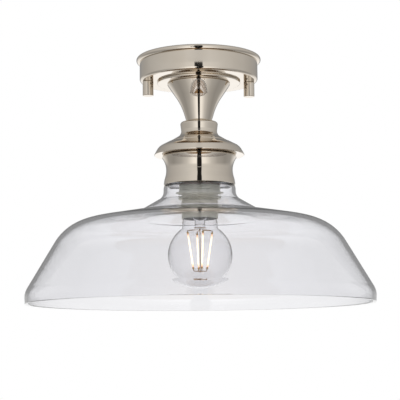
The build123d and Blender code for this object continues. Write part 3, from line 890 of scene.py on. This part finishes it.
# ---- Studio ----
@dataclass
class LightTent:
    """A closed round tent of cloth that only reflections see.

    Its cloth is brightest beside the camera and dimmer towards the back. The camera looks in through a
    dark slit, and a brown rug lies on the tent's floor.

    Attributes:
        radius: the tent's radius.
        top: height of its cover.
        foot: height of its floor.
        facing_deg: where the camera stands, clockwise from the front.
        slit_top: height where the slit ends and the cloth above it begins.
        slit_end: height above which the cloth has its dark slit again, up to the cover.
        low: heights between which the cloth goes from its lower to its upper brightness.
        above: the cloth's brightness over the slit, at degrees from the camera.
        beside: the same at the slit's height.
        below: the same near the floor.
        peak: the brightness that a ramp's level of 1 stands for.
        rug_radius: radius of the rug.
        rug_colour: its colour.
        rug_peak: the brightness that a ramp's level of 1 stands for on the rug.
        edge_level: brightness that light trapped in the glass meets, which draws the glass's edges.
        edge_turns: how often such light has gone through a face at most.
        seam: what counts as lying in the floor or the cover.
        sides: faces round the tent.
        smooth_deg: edges under this angle are shaded smooth.
    """

    radius: float = 2.6
    top: float = 2.4
    foot: float = -1.55
    facing_deg: float = 5.3
    slit_top: float = 0.577
    slit_end: float = 0.66
    low: tuple[float, float] = (-0.4, 0.1)
    above: Stops = ((0, 0.76), (22, 0.83), (48, 0.77), (75, 0.69), (109, 0.59), (143, 0.45), (180, 0.2))
    beside: Stops = ((0, 0.02), (7, 0.02), (8.5, 0.95), (22, 0.92), (48, 0.78), (75, 0.69), (109, 0.59),
                     (143, 0.45), (180, 0.2))
    below: Stops = ((0, 0.02), (7, 0.02), (9, 1.4), (20, 1.3), (42, 0.8), (65, 0.55), (97, 0.4),
                    (125, 0.45), (150, 1.0), (180, 1.25))
    peak: float = 1.6
    rug_radius: float = 1.13
    rug_colour: str = "b08a5c"
    rug_peak: float = 1.0
    edge_level: float = 0.3
    edge_turns: int = 2
    seam: float = 0.01
    sides: int = 128
    smooth_deg: float = 40.0

    def build(self) -> None:
        """Models the tent, and hides it from the camera and from what isn't shiny."""
        deselect()
        bpy.ops.mesh.primitive_cylinder_add(vertices=self.sides, radius=self.radius,
                                            depth=self.top - self.foot, end_fill_type="NGON")
        tent = bpy.context.object
        tent.name = "light_tent"
        bpy.ops.transform.translate(value=(0, 0, (self.top + self.foot) / 2))
        bpy.ops.object.transform_apply(location=True)
        bpy.ops.object.shade_smooth_by_angle(angle=math.radians(self.smooth_deg))
        tent.data.materials.append(self.cloth())
        tent.visible_camera = False
        tent.visible_diffuse = False
        tent.visible_shadow = False

    def cloth(self) -> bpy.types.Material:
        """Makes the cloth with the rug.

        Returns:
            White cotton, lit from outside, and a brown wool rug. Both glow for rays that a metal or a
            glass has reflected and are clear to all others, because the tent isn't part of the picture.
        """
        material, tree = new_material("tent_cloth")
        place = add_node(tree, "ShaderNodeTexCoord")
        spin = add_node(tree, "ShaderNodeMapping", {
            "Vector": place.outputs["Object"], "Rotation": (0, 0, math.radians(self.facing_deg))})
        split = add_node(tree, "ShaderNodeSeparateXYZ", {0: spin})
        level = self.brightness(tree, split)
        flat = add_node(tree, "ShaderNodeCombineXYZ", {0: split.outputs[0], 1: split.outputs[1]})
        reach = add_node(tree, "ShaderNodeVectorMath", {0: flat}, operation="LENGTH")
        near = add_node(tree, "ShaderNodeMath", {0: reach.outputs["Value"], 1: self.rug_radius},
                        operation="LESS_THAN")
        ground = add_node(tree, "ShaderNodeMath", {0: split.outputs[2], 1: self.foot + self.seam},
                          operation="LESS_THAN")
        rug = add_node(tree, "ShaderNodeMath", {0: near, 1: ground}, operation="MULTIPLY")
        tint = add_node(tree, "ShaderNodeMix", {
            0: rug, 6: linear("ffffff"), 7: linear(self.rug_colour)}, data_type="RGBA")
        peak = add_node(tree, "ShaderNodeMapRange", {
            "Value": rug, "From Min": 0.0, "From Max": 1.0, "To Min": self.peak, "To Max": self.rug_peak})
        strength = add_node(tree, "ShaderNodeMath", {0: level, 1: peak}, operation="MULTIPLY")
        path = add_node(tree, "ShaderNodeLightPath")
        reflected = add_node(tree, "ShaderNodeMath", {0: path.outputs["Glossy Depth"], 1: 0.5},
                             operation="GREATER_THAN")
        short = add_node(tree, "ShaderNodeMath", {
            0: path.outputs["Transmission Depth"], 1: self.edge_turns + 0.5}, operation="LESS_THAN")
        trapped = add_node(tree, "ShaderNodeMath", {0: path.outputs["Is Transmission Ray"], 1: short},
                           operation="MULTIPLY")
        edge = add_node(tree, "ShaderNodeMath", {0: trapped, 1: ground}, operation="SUBTRACT",
                        use_clamp=True)
        strength = add_node(tree, "ShaderNodeMix", {0: edge, 2: strength, 3: self.edge_level})
        glow = add_node(tree, "ShaderNodeEmission", {"Color": tint.outputs[2], "Strength": strength})
        clear = add_node(tree, "ShaderNodeBsdfTransparent")
        shader = add_node(tree, "ShaderNodeMixShader", {0: reflected, 1: clear, 2: glow})
        add_node(tree, "ShaderNodeOutputMaterial", {"Surface": shader})
        material.cycles.emission_sampling = "NONE"
        return material

    def brightness(self, tree: bpy.types.NodeTree, split: bpy.types.Node) -> bpy.types.Node:
        """Lays out how bright the cloth is, by height and by the angle from the camera.

        Args:
            tree: the cloth's node tree.
            split: gives x, y and z, turned so that the camera stands at -y.

        Returns:
            The node whose first output is the brightness over its peak.
        """
        ahead = add_node(tree, "ShaderNodeMath", {0: split.outputs[1], 1: -1.0}, operation="MULTIPLY")
        angle = add_node(tree, "ShaderNodeMath", {0: split.outputs[0], 1: ahead}, operation="ARCTAN2")
        turned = add_node(tree, "ShaderNodeMath", {0: angle}, operation="ABSOLUTE")
        share = add_node(tree, "ShaderNodeMath", {0: turned, 1: math.pi}, operation="DIVIDE")
        above, beside, below = [
            add_node(tree, "ShaderNodeValToRGB", {0: share},
                     [(degrees / 180, level / self.peak) for degrees, level in band])
            for band in (self.above, self.beside, self.below)]
        height = split.outputs[2]
        low = add_node(tree, "ShaderNodeMapRange", {
            "Value": height, "From Min": self.low[0], "From Max": self.low[1], "To Min": 0.0, "To Max": 1.0})
        level = add_node(tree, "ShaderNodeMix", {0: low, 2: below, 3: beside})
        over = add_node(tree, "ShaderNodeMath", {0: height, 1: self.slit_top}, operation="GREATER_THAN")
        level = add_node(tree, "ShaderNodeMix", {0: over, 2: level, 3: above})
        higher = add_node(tree, "ShaderNodeMath", {0: height, 1: self.slit_end}, operation="GREATER_THAN")
        wall = add_node(tree, "ShaderNodeMath", {0: height, 1: self.top - self.seam}, operation="LESS_THAN")
        upper = add_node(tree, "ShaderNodeMath", {0: higher, 1: wall}, operation="MULTIPLY")
        return add_node(tree, "ShaderNodeMix", {0: upper, 2: level, 3: beside})


@dataclass
class SoftBox:
    """A large square lamp for what isn't polished; reflections don't show it.

    Attributes:
        name: the lamp's name.
        place: where it hangs.
        watts: its power.
        size: its side.
        target: what it points at.
    """

    name: str
    place: Place
    watts: float
    size: float = 1.4
    target: Place = (0.0, 0.0, -0.1)

    def build(self) -> None:
        """Hangs the lamp and points it at the light."""
        deselect()
        bpy.ops.object.light_add(type="AREA", location=self.place)
        lamp = bpy.context.object
        lamp.name = self.name
        lamp.data.shape = "SQUARE"
        lamp.data.size = self.size
        lamp.data.energy = self.watts
        lamp.rotation_mode = "QUATERNION"
        lamp.rotation_quaternion = (Vector(self.target) - Vector(self.place)).to_track_quat("-Z", "Y")
        lamp.visible_glossy = False
        lamp.visible_transmission = False


@dataclass
class Studio:
    """Camera, surroundings, light tent, lamps and floor.

    Attributes:
        eye_distance: from the light's axis to the camera.
        eye_azimuth_deg: where the camera stands, clockwise from the front.
        eye_z: its height.
        aim_deg: how far it looks past the axis.
        pitch_deg: how far it looks up.
        roll_deg: its roll.
        focal_px: its focal length in pixels of a picture of frame_px.
        frame_px: the picture's side in pixels.
        sensor: the sensor's width in millimetres.
        clip: nearest and farthest distance that it sees.
        ambient: how bright the surroundings are as a light.
        bent: how far up or down, as a sine, a ray through glass looks when it starts and ends to dim.
        bent_level: what it dims to.
        floor_z: height of the floor.
        floor_radius: its radius.
        floor_sides: its corners.
        floor_mottle: size of the floor's pale patches, in millimetres.
        floor_lift: what the floor adds of its own where it is looked at, so that it stays pale.
        boxes: the lamps.
    """

    eye_distance: float = 1.2178
    eye_azimuth_deg: float = 5.3
    eye_z: float = -0.28764
    aim_deg: float = 0.013
    pitch_deg: float = 7.124
    roll_deg: float = -0.5
    focal_px: float = 1311.7
    frame_px: float = 400.0
    sensor: float = 36.0
    clip: tuple[float, float] = (0.05, 50.0)
    ambient: float = 0.62
    bent: tuple[float, float] = (0.28, 0.62)
    bent_level: float = 0.75
    floor_z: float = -2.4
    floor_radius: float = 9.0
    floor_sides: int = 64
    floor_mottle: float = 400.0
    floor_lift: float = 0.42
    boxes: tuple[SoftBox, ...] = (SoftBox("key", (-1.6, -1.8, 0.6), 38.0),
                                  SoftBox("fill", (1.8, -1.2, -0.6), 22.0))

    def camera(self) -> None:
        """Puts the camera where the photograph was taken from."""
        stand = math.radians(self.eye_azimuth_deg)
        turn = math.radians(self.eye_azimuth_deg + self.aim_deg)
        pitch = math.radians(self.pitch_deg)
        deselect()
        bpy.ops.object.camera_add(location=(-self.eye_distance * math.sin(stand),
                                            -self.eye_distance * math.cos(stand), self.eye_z))
        camera = bpy.context.object
        camera.name = "camera"
        ahead = Vector((math.sin(turn) * math.cos(pitch), math.cos(turn) * math.cos(pitch),
                        math.sin(pitch)))
        roll = Quaternion((0, 0, 1), math.radians(self.roll_deg))
        camera.rotation_mode = "QUATERNION"
        camera.rotation_quaternion = ahead.to_track_quat("-Z", "Y") @ roll
        camera.data.sensor_width = self.sensor
        camera.data.lens = self.focal_px / self.frame_px * self.sensor
        camera.data.clip_start, camera.data.clip_end = self.clip
        bpy.context.scene.camera = camera

    def world(self) -> None:
        """Surrounds the light with white, dimmer for rays that glass bends far up or down and as a light."""
        world = bpy.data.worlds.new("studio")
        bpy.context.scene.world = world
        world.use_nodes = True
        tree = world.node_tree
        tree.nodes.clear()
        path = add_node(tree, "ShaderNodeLightPath")
        place = add_node(tree, "ShaderNodeTexCoord")
        split = add_node(tree, "ShaderNodeSeparateXYZ", {0: place.outputs["Generated"]})
        rise = add_node(tree, "ShaderNodeMath", {0: split.outputs[2]}, operation="ABSOLUTE")
        through = add_node(tree, "ShaderNodeMapRange", {
            "Value": rise, "From Min": self.bent[0], "From Max": self.bent[1],
            "To Min": 1.0, "To Max": self.bent_level})
        level = add_node(tree, "ShaderNodeMix", {
            0: path.outputs["Is Transmission Ray"], 2: self.ambient, 3: through})
        level = add_node(tree, "ShaderNodeMix", {0: path.outputs["Is Camera Ray"], 2: level, 3: 1.0})
        background = add_node(tree, "ShaderNodeBackground", {"Color": linear("ffffff"), "Strength": level})
        add_node(tree, "ShaderNodeOutputWorld", {"Surface": background})

    def floor(self) -> None:
        """Lays a floor of pale painted concrete far below, a little mottled, that shows as near white."""
        deselect()
        bpy.ops.mesh.primitive_circle_add(vertices=self.floor_sides, radius=self.floor_radius,
                                          fill_type="NGON")
        floor = bpy.context.object
        floor.name = "floor"
        bpy.ops.transform.translate(value=(0, 0, self.floor_z))
        bpy.ops.object.transform_apply(location=True)
        material, tree = new_material("pale_floor")
        path = add_node(tree, "ShaderNodeLightPath")
        straight = add_node(tree, "ShaderNodeMath", {
            0: path.outputs["Is Camera Ray"], 1: path.outputs["Is Transmission Ray"]}, operation="MAXIMUM")
        lift = add_node(tree, "ShaderNodeMath", {0: straight, 1: self.floor_lift}, operation="MULTIPLY")
        place = add_node(tree, "ShaderNodeTexCoord")
        mottle = add_node(tree, "ShaderNodeTexNoise", {
            "Vector": place.outputs["Object"], "Scale": 1 / (self.floor_mottle * MM), "Detail": 2.0})
        colour = add_node(tree, "ShaderNodeMix", {
            0: mottle, 6: linear("f2f2f0"), 7: linear("ececea")}, data_type="RGBA")
        shader = add_node(tree, "ShaderNodeBsdfPrincipled", {
            "Base Color": colour.outputs[2], "Roughness": 0.8, "Emission Color": colour.outputs[2],
            "Emission Strength": lift})
        add_node(tree, "ShaderNodeOutputMaterial", {"Surface": shader})
        floor.data.materials.append(material)

    def build(self) -> None:
        """Sets the studio up."""
        self.camera()
        self.world()
        LightTent(facing_deg=self.eye_azimuth_deg).build()
        for box in self.boxes:
            box.build()
        self.floor()
        bpy.context.scene.view_settings.view_transform = "Standard"


def main() -> None:
    """Builds the light and its studio."""
    logging.basicConfig(level=logging.INFO, format="%(name)s: %(message)s")
    paint = PaintShop()
    for assembly in (CeilingFixing(), Canopy(), ShadeCarrier(), Lampholder(), GlassShade(), Lamp()):
        log.info("building %s", type(assembly).__name__)
        assembly.build(paint)
    Studio().build()


if __name__ == "__main__":
    main()
